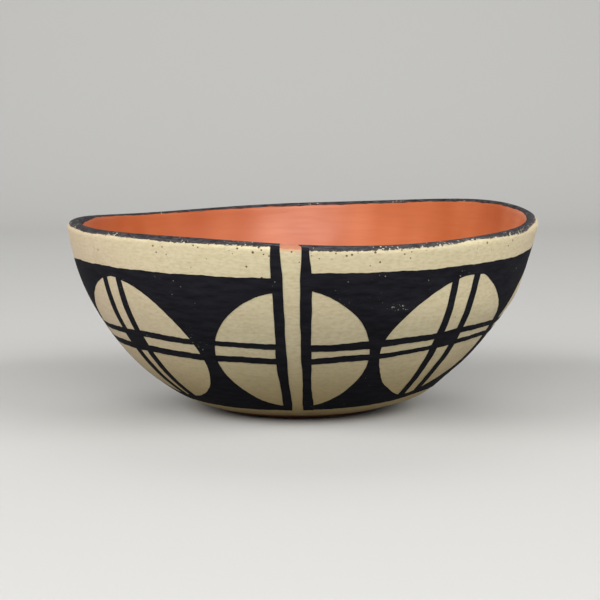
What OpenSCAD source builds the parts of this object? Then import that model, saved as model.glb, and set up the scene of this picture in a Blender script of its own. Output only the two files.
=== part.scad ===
// A coil-built earthenware bowl with a red slip inside, a cream slip outside and a band of
// black brush painting that stops at a narrow break in front.
// Millimetres, +Z up. The origin is the middle of the flat foot, on the table.
// Angles round the bowl start at the break, on the -Y side, and grow towards +X.
// Places on the outside are given as run, the distance down the wall from the lip's outer edge.

/* [Bowl] */
// Width across the outside of the rim
rim_d = 204; // [180:1:230]
// Height of the lip above the table, before the hand shaping
bowl_h = 81.7; // [76:0.1:96]
// Width of the flat foot
foot_d = 68; // [56:1:76]
// Thickness of the wall at the lip
wall_t = 6; // [4.5:0.1:8]
// Height of the lip's flattened round above the end of the wall
lip_h = 2.2; // [1.5:0.1:3]
// Extra thickness of the clay at the heel, where the wall leaves the foot
heel_t = 3; // [2:0.1:4]
// How far the wall runs outwards as it leaves the foot
lower_run = 37.5; // [30:0.5:44]
// How far the wall climbs over that run
lower_rise = 11; // [8:0.5:14]
// How far below the lip the wall starts to turn upright
upper_drop = 32; // [24:1:38]
// How far inside the rim the wall is there
upper_tuck = 5.5; // [3:0.5:9]

/* [Hand shaping] */
// How much the rim is tilted, up on one side and down on the other
rim_tilt = 1.8; // [0:0.1:3]
// Angle round the bowl where the tilted rim is highest
rim_tilt_at = 130; // [0:5:355]
// Height of the rim's slow wave, which rises twice round the bowl
rim_wave = 2.2; // [0:0.1:3]
// Angle round the bowl of one crest of that wave
rim_wave_at = 120; // [0:5:355]
// Depth of the small dips of the lip, five of them round the bowl
rim_dip = 0.4; // [0:0.05:0.8]
// Angle round the bowl of one of those dips
rim_dip_at = 12; // [0:1:71]
// How far the rim has moved to the right of the foot
rim_lean = 2.3; // [0:0.1:4]

/* [Clay courses] */
// How far up the wall the first pad of clay goes
pad_rise = 30; // [22:1:36]
// Number of coils between that pad and the rim coil
coil_count = 5; // [3:1:8]
// How much lower each coil reaches on the inside than on the outside
coil_lap = 4; // [1:0.5:6]

/* [Slips] */
// Thickness of a coat of slip
slip_t = 0.4; // [0.2:0.1:0.8]
// Hairline between one coat and the next
coat_gap = 0.2; // [0.2:0.01:0.3]
// How far up the lip from its outer edge the cream slip goes
cream_over = 3; // [2:0.1:3.5]
// How far up the wall from the foot the cream slip stops
cream_stop = 7; // [4:0.5:14]
// How far up the wall from the foot the brown wash starts
wash_start = 1.5; // [1:0.1:3]

/* [Painted band] */
// Thickness of the black paint
paint_t = 0.2; // [0.1:0.05:0.4]
// Lower edge of the rim line, up the lip from its outer edge
rim_line_start = 1.2; // [0.5:0.1:2]
// Width of the rim line, measured over the lip
rim_line_w = 6.5; // [4:0.1:7]
// Cream left bare between the lip and the band, right of the break
rim_margin = 9.2; // [5:0.1:16]
// Cream left bare between the band and the foot, beside the break
foot_margin = 18.4; // [16:0.1:28]
// How far the band's upper edge sinks on its way round from the right of the break to the left
band_drift = 3; // [0:0.1:5]
// How far the band's lower edge is higher on the far side than beside the break
band_sway = 3; // [0:0.1:5]
// Hairline between brush strokes that meet
stroke_gap = 0.1; // [0.05:0.01:0.3]

/* [Break in the band] */
// Width of the upright bars beside the break
bar_w = 3.8; // [3:0.1:5]
// Angle of the left bar at the lip
left_bar_angle = -6.2; // [-9:0.1:-5]
// Angle by which the left bar has moved to the right at the foot
left_lean_angle = 1.6; // [0:0.1:2]
// Angle of the right bar at the lip
right_bar_angle = 0.5; // [0:0.1:3]
// Angle by which the right bar has moved to the right at the foot
right_lean_angle = 6.2; // [0:0.1:7]

/* [Ovals] */
// Number of whole ovals in the band
oval_count = 6; // [4:1:8]
// Angle from the middle of a bar to the tip of the half oval beside it
half_oval_angle = 19; // [15:0.5:22]
// Angle of the first neck of black between two ovals
neck_angle = 2.2; // [1.5:0.1:4]
// Angle by which each neck is wider than the one before
neck_growth_angle = 0.5; // [0:0.1:0.8]
// Angle by which each whole oval is wider than the one before
oval_growth_angle = 1.1; // [0:0.1:1.5]
// Black left between an oval and the band's upper and lower edges
oval_margin = 4.5; // [3:0.1:8]
// Roundness of the ovals above: 1 is a diamond and 2 an ellipse
oval_top_round = 1.65; // [1.3:0.05:2.4]
// Roundness of the ovals below
oval_foot_round = 1.9; // [1.3:0.05:2.4]
// How far above the middle of the band the pair of level lines runs beside the break
level_rise = 1.4; // [0:0.1:5]
// Distance between the two level lines, middle to middle
level_gap = 7.5; // [6:0.1:10]
// Width of a level line
level_w = 3.2; // [2:0.1:4]
// Distance between the two upright lines of an oval, middle to middle
upright_gap = 10; // [7:0.1:12]
// Width of an upright line
upright_w = 3.4; // [2:0.1:4]
// Angle by which the upright lines of the first oval lean to the right
first_lean_angle = 7.5; // [0:0.5:9]
// Angle by which those of the last oval lean to the right
last_lean_angle = -2.5; // [-4:0.5:4]

/* [Hidden] */
// Facets of the soft shapes: columns round the bowl, rows in a course, a slip and the lip
columns = 60;
course_rows = 2;
slip_rows = 12;
lip_rows = 4;
floor_rows = 3;
// Places across half an oval, as shares of its half width, close together at the tip
oval_steps = [0.1, 0.3, 0.5, 0.68, 0.83, 0.94, 1];

full_turn = 360;
half_turn = full_turn / 2;
foot_r = foot_d / 2;
lip_r = wall_t / 2;
lip_z = bowl_h - lip_h;
lip_len = PI * (lip_r + lip_h) / 2;
coat = slip_t + coat_gap;

clay_colour = "#a8653f";
red_colour = "#c9683c";
cream_colour = "#d8c9a4";
wash_colour = "#8a5a38";
black_colour = "#26262b";

// The outside of the wall is one smooth curve from the foot's edge (t = 0) to the lip (t = 1).
wall_pull = [
    [foot_r, 0],
    [foot_r + lower_run, lower_rise],
    [rim_d / 2 - upper_tuck, lip_z - upper_drop],
    [rim_d / 2, lip_z]
];

function wall_point(t) =
    pow(1 - t, 3) * wall_pull[0] + 3 * t * pow(1 - t, 2) * wall_pull[1]
    + 3 * t * t * (1 - t) * wall_pull[2] + pow(t, 3) * wall_pull[3];

function wall_along(t) =
    let (d = pow(1 - t, 2) * (wall_pull[1] - wall_pull[0])
        + 2 * t * (1 - t) * (wall_pull[2] - wall_pull[1])
        + t * t * (wall_pull[3] - wall_pull[2]))
    d / norm(d);

// Outward normal of the wall
function wall_out(t) = let (d = wall_along(t)) [d[1], -d[0]];

// Clay thickness, slip coats included: even up the wall and thicker at the heel
function thickness(t) = wall_t + heel_t * pow(1 - t, 3);

// Points at a depth below the outer surface, and below the inner surface
function outer_point(t, depth = 0) = wall_point(t) - depth * wall_out(t);
function inner_point(t, depth = 0) = wall_point(t) - (thickness(t) - depth) * wall_out(t);

// Length of wall from the foot's edge up to each step of the curve, to turn lengths into t
wall_steps = 60;
wall_lengths = [
    for (i = 0, up = 0; i <= wall_steps;
        up = up + norm(wall_point((i + 1) / wall_steps) - wall_point(i / wall_steps)), i = i + 1)
    [up, i / wall_steps]
];
wall_len = wall_lengths[wall_steps][0];
function t_up(up) = lookup(up, wall_lengths);

// The lip is half an ellipse, from the outside over the top to the inside in half a turn.
lip_centre = outer_point(1, lip_r);
function lip_point(angle, depth = 0) =
    lip_centre + (lip_r - depth) * cos(angle) * wall_out(1) + (lip_h - depth) * sin(angle) * wall_along(1);
function lip_angle(over) = half_turn * min(1, over / lip_len);

// The floor is a shallow bowl that carries the inner wall's slope on to the middle.
floor_edge = inner_point(0);
floor_step = inner_point(1 / wall_steps) - floor_edge;
floor_sag = floor_edge[0] / 2 * floor_step[1] / floor_step[0];
function floor_point(share, depth = 0) =
    [floor_edge[0] * share, floor_edge[1] - floor_sag * (1 - share * share) - depth];

// Hand shaping: the pad is true and round, and above it the wall leans and the rim rises and falls.
pad_t = t_up(pad_rise);
pad_inner_t = t_up(pad_rise - coil_lap);
calm_z = max(inner_point(pad_inner_t)[1], outer_point(pad_t)[1]);
function rim_lift(angle) =
    rim_tilt * cos(angle - rim_tilt_at) + rim_wave * cos(2 * (angle - rim_wave_at));
function lip_lift(angle) = -rim_dip * cos(5 * (angle - rim_dip_at));
function place(angle, p) =
    let (share = max(0, (p[1] - calm_z) / (bowl_h - calm_z)))
    [
        p[0] * sin(angle) + rim_lean * share,
        -p[0] * cos(angle),
        p[1] + rim_lift(angle) * pow(share, 1.5) + lip_lift(angle) * pow(share, 6)
    ];

// A point of the outside, proud of it by out: down the wall from the lip's edge, or up over the lip
function run_t(run) = t_up(wall_len - run);
function skin(angle, run, out) =
    place(angle, run < 0 ? lip_point(lip_angle(-run), -out) : outer_point(run_t(run), -out));
// Angle round the bowl that a width in millimetres covers
function turn_of(width, run) = width / outer_point(run_t(run))[0] * half_turn / PI;

function mix(a, b, share) = a + (b - a) * share;

// Two triangles for each four-cornered cell of a grid
function cell(a, b, c, d) = [[a, b, c], [a, c, d]];

// A ring: a closed section carried round the bowl
module ring(section) {
    n = len(section);
    points = [
        for (i = [0:columns - 1]) for (p = section) place(i * full_turn / columns, p)
    ];
    faces = [
        for (i = [0:columns - 1]) for (j = [0:n - 1])
            let (next = (i + 1) % columns, k = (j + 1) % n)
            each cell(i * n + j, i * n + k, next * n + k, next * n + j)
    ];
    polyhedron(points, faces);
}

// A dish: a section that starts and ends on the axis, carried round the bowl
module dish(section) {
    n = len(section) - 2;
    rows = [for (j = [1:n]) section[j]];
    points = concat(
        [for (i = [0:columns - 1]) for (p = rows) place(i * full_turn / columns, p)],
        [place(0, section[0]), place(0, section[n + 1])]
    );
    start = columns * n;
    faces = [
        for (i = [0:columns - 1])
            let (next = (i + 1) % columns)
            each concat(
                [[start, i * n, next * n], [start + 1, next * n + n - 1, i * n + n - 1]],
                [for (j = [0:n - 2])
                    each cell(i * n + j, i * n + j + 1, next * n + j + 1, next * n + j)]
            )
    ];
    polyhedron(points, faces);
}

// A brush stroke: a thin solid on the outside. The map gives [angle, run] for each share across and along.
module stroke(map, across, along) {
    w = along + 1;
    layer = (across + 1) * w;
    points = [
        for (out = [coat_gap, coat_gap + paint_t]) for (i = [0:across]) for (j = [0:along])
            let (at = map(i / across, j / along)) skin(at[0], at[1], out)
    ];
    faces = concat(
        [for (i = [0:across - 1]) for (j = [0:along - 1])
            let (a = i * w + j, b = a + layer)
            each concat(
                cell(a, a + w, a + w + 1, a + 1),
                cell(b, b + 1, b + w + 1, b + w)
            )],
        [for (i = [0:across - 1])
            let (a = i * w, c = a + along)
            each concat(
                cell(a, a + layer, a + w + layer, a + w),
                cell(c, c + w, c + w + layer, c + layer)
            )],
        [for (j = [0:along - 1])
            let (a = j, c = across * w + j)
            each concat(
                cell(a, a + 1, a + 1 + layer, a + layer),
                cell(c, c + layer, c + 1 + layer, c + 1)
            )]
    );
    polyhedron(points, faces);
}

// Clay

// Rows of a section from one length up the wall to another, on the outside and on the inside
function outer_rows(from, to, rows, depth) =
    [for (i = [0:rows]) outer_point(t_up(mix(from, to, i / rows)), depth)];
function inner_rows(from, to, rows, depth) =
    [for (i = [0:rows]) inner_point(t_up(mix(from, to, i / rows)), depth)];
function floor_row(depth) = [for (i = [floor_rows - 1:-1:0]) floor_point(i / floor_rows, depth)];
function lip_row(from, to, rows, depth) = [for (i = [0:rows]) lip_point(mix(from, to, i / rows), depth)];

course_h = (wall_len - pad_rise) / (coil_count + 1);
pad_rows = 4;

module base_pad() {
    top = pad_rise - coat_gap;
    color(clay_colour)
    rotate_extrude($fn = columns * 2)
    polygon(concat(
        [[0, 0], [outer_point(0, coat)[0], 0]],
        outer_rows(0, top, pad_rows, coat),
        inner_rows(top - coil_lap, 0, pad_rows, coat),
        floor_row(coat)
    ));
}

module wall_coil(k) {
    foot = pad_rise + (k - 1) * course_h;
    top = foot + course_h;
    color(clay_colour)
    ring(concat(
        outer_rows(foot, top, course_rows, coat),
        inner_rows(top - coil_lap, foot - coil_lap, course_rows, coat)
    ));
}

module rim_coil() {
    foot = wall_len - course_h;
    color(clay_colour)
    ring(concat(
        outer_rows(foot, wall_len, course_rows, coat),
        lip_row(half_turn / lip_rows, half_turn * (1 - 1 / lip_rows), lip_rows - 2, coat),
        inner_rows(wall_len, foot - coil_lap, course_rows, coat)
    ));
}

// Slips

// The red coat goes from the cream's edge on the lip down the inside and across the floor.
function red_row(depth) = concat(
    lip_row(lip_angle(cream_over + coat_gap), half_turn, lip_rows, depth),
    [for (i = [1:slip_rows]) inner_point(t_up(wall_len * (1 - i / slip_rows)), depth)],
    floor_row(depth)
);

module red_slip() {
    under = red_row(slip_t);
    color(red_colour)
    dish(concat([for (i = [len(under) - 1:-1:0]) under[i]], red_row(0)));
}

module cream_slip() {
    color(cream_colour)
    ring(concat(
        outer_rows(cream_stop, wall_len, slip_rows, 0),
        lip_row(lip_angle(cream_over / 2), lip_angle(cream_over), 1, 0),
        lip_row(lip_angle(cream_over), lip_angle(cream_over / 2), 1, slip_t),
        outer_rows(wall_len, cream_stop, slip_rows, slip_t)
    ));
}

module foot_wash() {
    top = cream_stop - coat_gap;
    color(wash_colour)
    rotate_extrude($fn = columns * 2)
    polygon(concat(
        outer_rows(wash_start, top, course_rows, 0),
        outer_rows(top, wash_start, course_rows, slip_t)
    ));
}

// Painting

// Edges of the two bars: side is -1 for the left edge, 0 for the middle and 1 for the right edge.
function left_bar_edge(side, run) =
    let (down = max(0, run))
    left_bar_angle + left_lean_angle * down / wall_len + side * turn_of(bar_w / 2, down);
function right_bar_edge(side, run) =
    let (down = max(0, run))
    right_bar_angle + right_lean_angle * pow(down / wall_len, 2) + side * turn_of(bar_w / 2, down);

// The band's edges and middle. It rises soon after the break and sinks on its way round.
function sway(angle) = band_sway * sin(half_turn * pow(max(0, angle) / full_turn, 0.7));
function band_top(angle) = rim_margin + band_drift * angle / full_turn - sway(angle) / 2;
function band_foot(angle) = wall_len - foot_margin - sway(angle);
function band_mid(angle) = (band_top(angle) + band_foot(angle)) / 2;

// The band starts right of the right bar and ends left of the left bar, a turn later.
mid_run = band_mid(0);
band_start = right_bar_edge(1, mid_run);
band_end = full_turn + left_bar_edge(-1, mid_run);
first_tip = right_bar_edge(0, mid_run) + half_oval_angle;
last_tip = full_turn + left_bar_edge(0, mid_run) - half_oval_angle;

// Each neck and each whole oval is wider than the one before. Together they fill the space between the tips.
function grown(first, growth, count) = count * first + growth * count * (count - 1) / 2;
whole_span = last_tip - first_tip - grown(neck_angle, neck_growth_angle, oval_count + 1);
first_w = (whole_span - grown(0, oval_growth_angle, oval_count)) / oval_count;
function oval_w(k) = first_w + k * oval_growth_angle;
function oval_start(k) =
    first_tip + grown(neck_angle, neck_growth_angle, k + 1) + grown(first_w, oval_growth_angle, k);

// Every panel as [middle, half width, angle where it starts, angle where it ends,
// whether it starts at the right bar, whether it ends at the left bar]
panels = concat(
    [[right_bar_edge(0, mid_run), half_oval_angle, band_start, first_tip, true, false]],
    [for (k = [0:oval_count - 1])
        let (start = oval_start(k), w = oval_w(k)) [start + w / 2, w / 2, start, start + w, false, false]],
    [[full_turn + left_bar_edge(0, mid_run), half_oval_angle, last_tip, band_end, false, true]]
);
first_whole = 1;

// An oval's edge: height as a share of its reach, for a share of its half width, and the other way
function round_edge(x, round) = pow(1 - pow(min(1, x), round), 1 / round);
function edge_heights(round) = concat([[0, 1]], [for (x = oval_steps) [x, round_edge(x, round)]]);
top_edge = edge_heights(oval_top_round);
foot_edge = edge_heights(oval_foot_round);
function turned(table) = [for (i = [len(table) - 1:-1:0]) [table[i][1], table[i][0]]];
function edge_height(x, table) = lookup(abs(x), table);
function edge_width(y, table) = lookup(abs(y), turned(table));

// Run of a panel's upper or lower edge at an angle, and angle of its side at a run
function reach(p) = (band_foot(p[0]) - band_top(p[0])) / 2 - oval_margin;
function panel_top(p, angle) = band_mid(p[0]) - reach(p) * edge_height((angle - p[0]) / p[1], top_edge);
function panel_foot(p, angle) = band_mid(p[0]) + reach(p) * edge_height((angle - p[0]) / p[1], foot_edge);
function panel_side(p, side, run) =
    let (y = (run - band_mid(p[0])) / reach(p))
    p[0] + side * p[1] * edge_width(y, y < 0 ? top_edge : foot_edge);
function panel_left(p, run) = p[4] ? right_bar_edge(1, run) : panel_side(p, -1, run);
function panel_right(p, run) = p[5] ? full_turn + left_bar_edge(-1, run) : panel_side(p, 1, run);

// Columns of the black ground: each panel as a list of [angle, panel], left to right
inner_steps = [for (x = oval_steps) if (x < 1) x];
both_steps = concat([for (i = [len(inner_steps) - 1:-1:0]) -inner_steps[i]], inner_steps);
least_step = 0.5;
function panel_columns(p) = concat(
    [[p[2], p]],
    [for (x = both_steps)
        let (angle = p[0] + p[1] * x)
        if (angle > p[2] + least_step && angle < p[3] - least_step) [angle, p]],
    [[p[3], p]]
);
ground_columns = [for (p = panels) each panel_columns(p)];
ground_last = len(ground_columns) - 1;

// The first and last columns follow the edges of the bars.
function ground_angle(i, run) =
    i == 0 ? right_bar_edge(1, run)
    : i == ground_last ? full_turn + left_bar_edge(-1, run)
    : ground_columns[i][0];

// Level lines run across each panel from side to side: line is -1 for the upper and 1 for the lower one.
function level_run(line, angle) = band_mid(angle) - level_rise - sway(angle) + line * level_gap / 2;
level_columns = 8;
module level_line(line) {
    for (p = panels)
        stroke(
            function (u, v)
                let (
                    off = (v - 0.5) * level_w,
                    from_run = level_run(line, p[2]) + off,
                    to_run = level_run(line, p[3]) + off,
                    from = panel_left(p, from_run) + turn_of(stroke_gap, from_run),
                    to = panel_right(p, to_run) - turn_of(stroke_gap, to_run)
                )
                [mix(from, to, u), level_run(line, mix(from, to, u)) + off],
            level_columns, 1
        );
}

// Upright lines of whole oval k: middle of the left (-1) or right (1) line at a run
function whole(k) = panels[k + first_whole];
function lean_angle(k) = mix(first_lean_angle, last_lean_angle, k / (oval_count - 1));
function upright_angle(k, line, run) =
    let (p = whole(k))
    p[0] + lean_angle(k) * (run - mid_run) / (2 * reach(p)) + turn_of(line * upright_gap / 2, run);
function upright_edge(k, line, side, run) = upright_angle(k, line, run) + turn_of(side * upright_w / 2, run);

// Run just clear of a level line, above (-1) or below (1) it, where an upright edge meets it
function clear_of(level, way, k, line, side) =
    let (angle = upright_edge(k, line, side, level_run(level, whole(k)[0])))
    level_run(level, angle) + way * (level_w / 2 + stroke_gap);

upright_rows = 4;
module upright_lines(way) {
    for (k = [0:oval_count - 1], line = [-1, 1]) {
        p = whole(k);
        tip = band_mid(p[0]) + way * reach(p);
        stroke(
            function (u, v)
                let (
                    side = mix(-1, 1, u),
                    near = clear_of(way, way, k, line, side),
                    end_angle = upright_edge(k, line, side, tip),
                    end = (way > 0 ? panel_foot(p, end_angle) : panel_top(p, end_angle)) - way * stroke_gap,
                    run = way > 0 ? mix(near, end, v) : mix(end, near, v)
                )
                [upright_edge(k, line, side, run), run],
            1, upright_rows
        );
    }
}

rim_line_rows = 5;
rim_line_end = min(rim_line_start + rim_line_w, lip_len - coat_gap);
module rim_line() {
    color(black_colour)
    stroke(
        function (u, v) [
            mix(right_bar_edge(-1, 0), full_turn + left_bar_edge(1, 0), u),
            -mix(rim_line_end, rim_line_start, v)
        ],
        columns, rim_line_rows
    );
}

bar_rows = 14;
module left_bar() {
    color(black_colour)
    stroke(
        function (u, v)
            let (run = mix(-rim_line_start, band_foot(full_turn), v))
            [left_bar_edge(mix(-1, 1, u), run), run],
        1, bar_rows
    );
}

module right_bar() {
    color(black_colour)
    stroke(
        function (u, v)
            let (run = mix(-rim_line_start, band_foot(0), v))
            [right_bar_edge(mix(-1, 1, u), run), run],
        1, bar_rows
    );
}

ground_rows = 4;
module upper_ground() {
    color(black_colour)
    stroke(
        function (u, v)
            let (
                i = round(u * ground_last),
                angle = ground_columns[i][0],
                run = mix(band_top(angle), panel_top(ground_columns[i][1], angle), v)
            )
            [ground_angle(i, run), run],
        ground_last, ground_rows
    );
}

module lower_ground() {
    color(black_colour)
    stroke(
        function (u, v)
            let (
                i = round(u * ground_last),
                angle = ground_columns[i][0],
                run = mix(panel_foot(ground_columns[i][1], angle), band_foot(angle), v)
            )
            [ground_angle(i, run), run],
        ground_last, ground_rows
    );
}

module upper_level_line() {
    color(black_colour) level_line(-1);
}

module lower_level_line() {
    color(black_colour) level_line(1);
}

module upper_upright_lines() {
    color(black_colour) upright_lines(-1);
}

module lower_upright_lines() {
    color(black_colour) upright_lines(1);
}

// The crossing of an oval's lines is filled in between the two level lines.
module crossing_squares() {
    color(black_colour)
    for (k = [0:oval_count - 1])
        stroke(
            function (u, v)
                let (
                    side = mix(-1, 1, u),
                    run = mix(clear_of(-1, 1, k, side, side), clear_of(1, -1, k, side, side), v)
                )
                [upright_edge(k, side, side, run), run],
            2, 1
        );
}

base_pad();
for (k = [1:coil_count])
    wall_coil(k);
rim_coil();
red_slip();
cream_slip();
foot_wash();
rim_line();
left_bar();
right_bar();
upper_ground();
lower_ground();
upper_level_line();
lower_level_line();
upper_upright_lines();
lower_upright_lines();
crossing_squares();
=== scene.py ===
# %% [markdown]
# A hand-built pottery bowl, dressed for its portrait.
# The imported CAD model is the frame: it fixes where every piece sits and how large it is. This lesson adds
# what the solids leave out: the soft unevenness of a scraped wall, brush strokes with a living edge, and the
# finish of each coat. Each step first says what the thing is on the real bowl, then how it is made here.

# %% Load the frame
import bpy
import numpy as np
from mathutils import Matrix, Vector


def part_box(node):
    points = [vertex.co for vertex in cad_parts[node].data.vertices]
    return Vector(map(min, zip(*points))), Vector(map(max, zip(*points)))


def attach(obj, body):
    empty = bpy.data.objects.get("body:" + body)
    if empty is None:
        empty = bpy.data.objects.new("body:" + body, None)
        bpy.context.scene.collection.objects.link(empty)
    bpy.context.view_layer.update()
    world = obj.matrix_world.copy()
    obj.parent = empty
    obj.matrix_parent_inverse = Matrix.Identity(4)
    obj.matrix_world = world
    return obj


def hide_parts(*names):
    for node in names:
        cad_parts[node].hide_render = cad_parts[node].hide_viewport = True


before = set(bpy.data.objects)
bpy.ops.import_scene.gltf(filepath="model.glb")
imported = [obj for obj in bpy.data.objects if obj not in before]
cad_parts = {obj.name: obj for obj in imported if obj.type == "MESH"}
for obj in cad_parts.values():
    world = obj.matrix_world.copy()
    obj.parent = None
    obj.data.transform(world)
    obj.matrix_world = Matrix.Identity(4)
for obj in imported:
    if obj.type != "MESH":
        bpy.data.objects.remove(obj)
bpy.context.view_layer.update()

MM = 0.001

# %% [markdown]
# The camera.
# The bowl is seen from a little above its rim with a long lens, so it shows its outside and a thin slice of
# its inside. A lens could be found by eye; here its distance, height and focal length follow from the outline
# of the rim and the wall, which leaves no need to shift the lens.

# %% Camera
FRAME_PX = 600
SENSOR_MM = 36.0
focal_px = 2053.0
eye_side, eye_back, eye_height = 1.0, 892.9, 152.8
look_down = 6.79

eye_lens = bpy.data.cameras.new("eye")
eye_lens.sensor_width = SENSOR_MM
eye_lens.lens = SENSOR_MM * focal_px / FRAME_PX
eye = bpy.data.objects.new("eye", eye_lens)
eye.location = (eye_side * MM, -eye_back * MM, eye_height * MM)
eye.rotation_euler = (np.radians(90.0 - look_down), 0.0, 0.0)
bpy.context.scene.collection.objects.link(eye)
bpy.context.scene.camera = eye
print("lens in mm:", round(eye_lens.lens, 1))

# %% [markdown]
# The wall.
# A potter raises this wall from a flat pad with coils, then scrapes it thin, so its outline is one easy curve
# from the foot to the lip. It could be drawn point by point; one cubic curve pulled by four points says the
# same with eight numbers. The inside is that curve set in by the thickness of the clay.

# %% Sizes of the bowl, in millimetres
rim_d, bowl_h, foot_d = 204.0, 81.7, 68.0
wall_t, heel_t = 6.0, 3.0
lip_r, lip_h = wall_t / 2, 2.2
lip_z = bowl_h - lip_h
lower_run, lower_rise = 37.5, 11.0
upper_drop, upper_tuck = 32.0, 5.5

wall_pull = np.array([
    [foot_d / 2, 0.0],
    [foot_d / 2 + lower_run, lower_rise],
    [rim_d / 2 - upper_tuck, lip_z - upper_drop],
    [rim_d / 2, lip_z],
])
coat_low, coat_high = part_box("cream_slip")
print("rim width here and in the frame:", rim_d, round((coat_high.x - coat_low.x) / MM, 1))


# %% Curves of the wall
def wall_curve(t):
    """Outside of the wall: each pull point times its cubic weight, from the foot, where t is 0, to the lip,
    where t is 1."""
    t = np.asarray(t, float)[..., None]
    a, b, c, d = wall_pull
    return (1 - t) ** 3 * a + 3 * t * (1 - t) ** 2 * b + 3 * t ** 2 * (1 - t) * c + t ** 3 * d


def wall_along(t):
    """Direction up the wall: the curve's derivative, made one unit long."""
    t = np.asarray(t, float)[..., None]
    a, b, c, d = wall_pull
    rise = (1 - t) ** 2 * (b - a) + 2 * t * (1 - t) * (c - b) + t ** 2 * (d - c)
    return rise / np.linalg.norm(rise, axis=-1, keepdims=True)


def wall_out(t):
    """Outward normal: the direction up the wall turned a quarter to the outside."""
    along = wall_along(t)
    return np.stack([along[..., 1], -along[..., 0]], -1)


def inner_curve(t):
    """Inside of the wall: the outside set in by the wall's thickness, which grows at the heel."""
    t = np.asarray(t, float)
    return wall_curve(t) - (wall_t + heel_t * (1 - t) ** 3)[..., None] * wall_out(t)


# %% Lengths along the wall
WALL_STEPS = 401


def lengths_of(points):
    """Length of a row of points up to each of them."""
    return np.concatenate([[0.0], np.cumsum(np.linalg.norm(np.diff(points, axis=0), axis=1))])


t_steps = np.linspace(0, 1, WALL_STEPS)
wall_lengths = lengths_of(wall_curve(t_steps))
wall_len = wall_lengths[-1]
inner_lengths = lengths_of(inner_curve(t_steps[::-1]))
inner_len = inner_lengths[-1]
print("wall", round(wall_len, 1), "inside", round(inner_len, 1))

# %% [markdown]
# One path over the whole bowl.
# Every coat and stroke lies on the same skin, so one function gives that skin. Its coordinate is run, the
# distance from the lip's outer edge: down the outside it is positive, and over the lip, down the inside and
# across the floor it is negative. The lip is half an ellipse, as a wet rag leaves it when it is drawn round
# the rim. The floor is a shallow parabola that goes on from the slope of the wall's inside.

# %% The skin's section
slope_step = 1 / 60
lip_len = np.pi * (lip_r + lip_h) / 2
lip_centre = wall_curve(1.0) - lip_r * wall_out(1.0)
floor_r, floor_z = inner_curve(0.0)
floor_slope = np.diff(inner_curve(np.array([0.0, slope_step])), axis=0)[0]
floor_sag = floor_r / 2 * floor_slope[1] / floor_slope[0]
path_end = -(lip_len + inner_len + floor_r)


def section(run, out=0.0):
    """Radius and height on the skin: outside curve, half ellipse of the lip, inside curve, then a shallow
    floor, each moved along its normal by out."""
    run, out = np.broadcast_arrays(np.asarray(run, float), np.asarray(out, float))
    proud = out[..., None]
    t = np.interp(wall_len - run, wall_lengths, t_steps)
    outside = wall_curve(t) + proud * wall_out(t)
    turn = np.pi * np.clip(-run / lip_len, 0, 1)[..., None]
    lip_side, lip_top = (lip_r + proud) * np.cos(turn), (lip_h + proud) * np.sin(turn)
    lip = lip_centre + lip_side * wall_out(1.0) + lip_top * wall_along(1.0)
    down = -run - lip_len
    t = np.interp(down, inner_lengths, t_steps[::-1])
    inside = inner_curve(t) - proud * wall_out(t)
    share = np.clip(1 - (down - inner_len) / floor_r, 0, 1)
    floor = np.stack([floor_r * share, floor_z - floor_sag * (1 - share ** 2) + out], -1)
    zones = [(run >= 0)[..., None], (down < 0)[..., None], (down < inner_len)[..., None]]
    return np.select(zones, [outside, lip, inside], floor)


print("lip", round(lip_len, 1), "floor radius", round(floor_r, 1), "whole inside", round(-path_end, 1))

# %% [markdown]
# The work of the hands.
# No wheel made this bowl. Its pad is true, and above it the wall leans to one side, the rim rises and falls by
# a few millimetres, the right flank bulges a little, and the scraper left shallow dents. Noise on the mesh
# would do, but slow waves of the angle can be counted and set, and they are the same for every coat and
# stroke, so nothing comes apart. A form that follows no wave is given by a few points, with a smooth curve
# passed through them.


# %% Waves, ramps and curves
def ripples(waves, a, along=0.0):
    """Sum of sines round the bowl. Each wave has a height, a count of waves in one turn, a start in radians,
    and a twist, the radians that every millimetre along the wall adds."""
    return sum(height * np.sin(count * a + along * twist + start) for height, count, start, twist in waves)


def ramp(x, start, end):
    """Straight rise from 0 at the start to 1 at the end, level outside them."""
    return np.clip((x - start) / (end - start), 0, 1)


def through(points, at):
    """Smooth curve through a few (place, value) pairs: cubic between neighbours, with slopes from both
    sides."""
    x, y = np.asarray(points, float).T
    at = np.clip(np.asarray(at, float), x[0], x[-1])
    slope = np.gradient(y, x)
    k = np.clip(np.searchsorted(x, at, side="right") - 1, 0, len(x) - 2)
    width = x[k + 1] - x[k]
    s = (at - x[k]) / width
    start, end = y[k] + s * width * slope[k], y[k + 1] - (1 - s) * width * slope[k + 1]
    return start + (end - start) * s * s * (3 - 2 * s)


print("curve through 0, 1 and 0, a quarter of the way:", through([(0, 0), (1, 1), (2, 0)], 0.5).round(3))

# %% Hand shaping
pad_rise, coil_lap = 30.0, 4.0
rim_tilt, rim_tilt_at = 1.8, np.radians(130)
rim_wave, rim_wave_at = 2.2, np.radians(120)
rim_dip, rim_dip_at = 0.4, np.radians(12)
rim_sag, rim_lean = 0.22, 2.3
rise_power, dip_power = 1.5, 6
belly_points = [(0, 0), (12, 0), (25, 0.2), (45, 0.25), (65, 0.4), (80, 0.3), (95, 0.3), (103, 0)]
flank_points = [(0, 0), (12, 0), (22, 0.6), (31, 1.4), (40, 0.9), (50, 0.7), (65, 0.8), (76, 1.0), (85, 1.7),
                (92, 1.2), (98, 0.4), (102, 0)]
flank_at = np.radians(85)
dent_waves = [(0.09, 7, 0, 1 / 11), (0.06, 12, 1, -1 / 7), (0.04, 23, 2, 1 / 5)]
pad_t = np.interp([pad_rise - coil_lap, pad_rise], wall_lengths, t_steps)
calm_z = max(inner_curve(pad_t[0])[1], wall_curve(pad_t[1])[1])
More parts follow.
